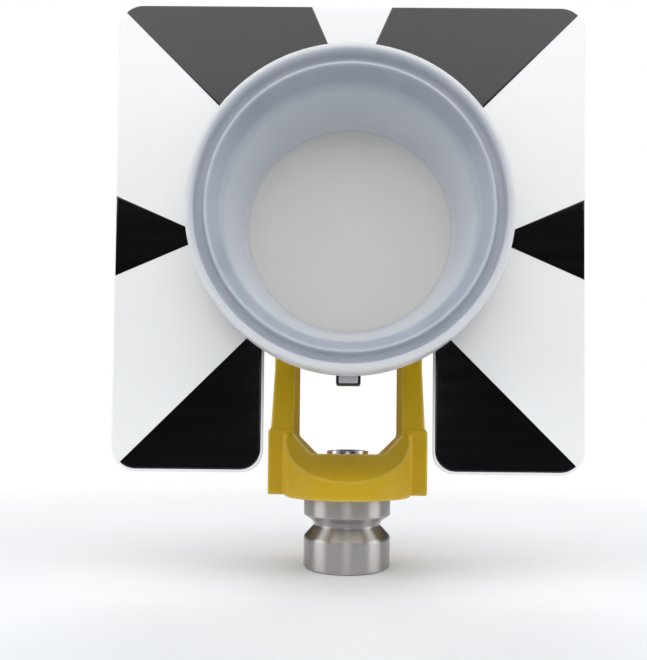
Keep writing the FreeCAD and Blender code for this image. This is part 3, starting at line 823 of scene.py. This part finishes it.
for side, sign in (("left", -1), ("right", 1)):
    tiltKnob(side, sign)
    title = side.capitalize()
    placePiece(easedCopy("knobWasher" + title, "knob_washer_" + side, 0.12), side + "_knob",
               "bright_steel", "knob_washer_" + side)
    placePiece(easedCopy("tiltWasher" + title, "tilt_washer_" + side, 0.1), "prism_head",
               "nylon", "tilt_washer_" + side)
print("tilt knobs")


# ---- studio ----

def studioFloor():
    # A pale disc that fades into the pale surround: clear from the inner to the outer radius.
    fade = {"inner": 0.1, "outer": 0.5}
    rings = np.linspace(0, fade["outer"], 24)
    piece = revolve("floor", [(r / mm, 0) for r in rings], (0, 0, -0.05), "z", 96, False)
    material, tree, shader = newMaterial("paleFloor", {"Roughness": 0.6})
    tinted(tree, shader, cloudy(tree, 120), "#E3E5E7", "#E6E8EA")
    place = addNode(tree, "ShaderNodeTexCoord").outputs["Object"]
    away = addNode(tree, "ShaderNodeVectorMath", {0: place}, operation="LENGTH").outputs["Value"]
    ranged = {"Value": away, "From Min": fade["inner"], "From Max": fade["outer"], "To Min": 1.0,
              "To Max": 0.0}
    solid = addNode(tree, "ShaderNodeMapRange", ranged, interpolation_type="SMOOTHSTEP").outputs[0]
    tree.links.new(solid, shader.inputs["Alpha"])
    piece.data.materials.append(material)


def surround():
    # The camera sees a pale surround. It lights soft surfaces from all round, and reflections find
    # it nearly dark, as they would a room behind the camera.
    world = bpy.data.worlds.new("surround")
    world.use_nodes = True
    bpy.context.scene.world = world
    tree = world.node_tree
    dim = tree.nodes["Background"]
    dim.inputs["Color"].default_value = linear("#F2F4F8")
    rays = addNode(tree, "ShaderNodeLightPath").outputs
    ranged = {"Value": rays["Is Diffuse Ray"], "To Min": studio["mirrored"], "To Max": studio["fill"]}
    strength = addNode(tree, "ShaderNodeMapRange", ranged).outputs[0]
    tree.links.new(strength, dim.inputs["Strength"])
    pale = addNode(tree, "ShaderNodeBackground", {"Color": linear(studio["backdrop"])})
    sides = {0: rays["Is Camera Ray"], 1: dim.outputs[0], 2: pale.outputs[0]}
    mixed = addNode(tree, "ShaderNodeMixShader", sides)
    tree.links.new(mixed.outputs[0], tree.nodes["World Output"].inputs["Surface"])


def softbox(name, settings):
    # A rectangle facing the prism from an azimuth and elevation; its power follows from the
    # brightness wanted on its face, four times brightness times area.
    azimuth, elevation = (math.radians(settings[key]) for key in ("azimuth", "elevation"))
    width, height = settings["size"]
    light = bpy.data.lights.new(name, "AREA")
    light.shape = "RECTANGLE"
    light.size, light.size_y = width, height
    light.energy = 4 * settings["brightness"] * width * height
    out = math.cos(elevation)
    towards = np.array([math.sin(azimuth) * out, -math.cos(azimuth) * out, math.sin(elevation)])
    lamp = bpy.data.objects.new(name, light)
    lamp.location = np.array([0, 0, studio["aimHeight"]]) + settings["distance"] * towards
    flat = np.array([math.cos(azimuth), math.sin(azimuth), 0])
    upright = np.cross(towards, flat)
    lamp.rotation_euler = Matrix(np.stack([flat, upright, towards], 1).tolist()).to_euler()
    lamp.visible_camera = False
    bpy.context.scene.collection.objects.link(lamp)


# sizes and distances in metres, angles in degrees, brightness as the radiance of the light's face
studio = {"fill": 0.44, "mirrored": 0.05, "backdrop": "#FFFFFF", "aimHeight": 0.11, "softboxes": {
    "overhead": {"azimuth": 0, "elevation": 58, "distance": 0.7, "size": (1.15, 0.56), "brightness": 1.6},
    "left": {"azimuth": -76, "elevation": 18, "distance": 1.0, "size": (0.6, 0.9), "brightness": 1.65},
    "right": {"azimuth": 76, "elevation": 18, "distance": 1.0, "size": (0.6, 0.9), "brightness": 1.65},
    "front": {"azimuth": 0, "elevation": 10, "distance": 0.9, "size": (0.28, 0.4), "brightness": 1.0},
    "behind": {"azimuth": 180, "elevation": 50, "distance": 1.1, "size": (1.3, 0.8), "brightness": 1.6}}}

# focal length and place in millimetres, shift as a share of the sensor, angles in degrees
camera = {"focal": 24.52, "shift": (-0.0347, 0.1774), "place": (0.1, -172.5, 41.8),
          "pitch": 1.03, "yaw": -0.20, "roll": 0.59}


def addCamera():
    data = bpy.data.cameras.new("camera")
    data.sensor_fit = "VERTICAL"
    data.sensor_height = 36
    data.lens = camera["focal"]
    data.shift_x, data.shift_y = camera["shift"]
    data.clip_start = 0.005
    pitch, yaw, roll = (math.radians(camera[key]) for key in ("pitch", "yaw", "roll"))
    ahead = np.array([math.sin(yaw) * math.cos(pitch), math.cos(yaw) * math.cos(pitch), math.sin(pitch)])
    level = np.array([math.cos(yaw), -math.sin(yaw), 0])
    upright = np.cross(level, ahead)
    right = level * math.cos(roll) + upright * math.sin(roll)
    above = upright * math.cos(roll) - level * math.sin(roll)
    place = np.eye(4)
    place[:3] = np.stack([right, above, -ahead, np.array(camera["place"]) * mm], 1)
    viewer = bpy.data.objects.new("camera", data)
    bpy.context.scene.collection.objects.link(viewer)
    viewer.matrix_world = Matrix(place.tolist())
    bpy.context.scene.camera = viewer


studioFloor()
surround()
for lightName, settings in studio["softboxes"].items():
    softbox(lightName, settings)
addCamera()
bpy.context.scene.view_settings.view_transform = "Standard"
print("studio")
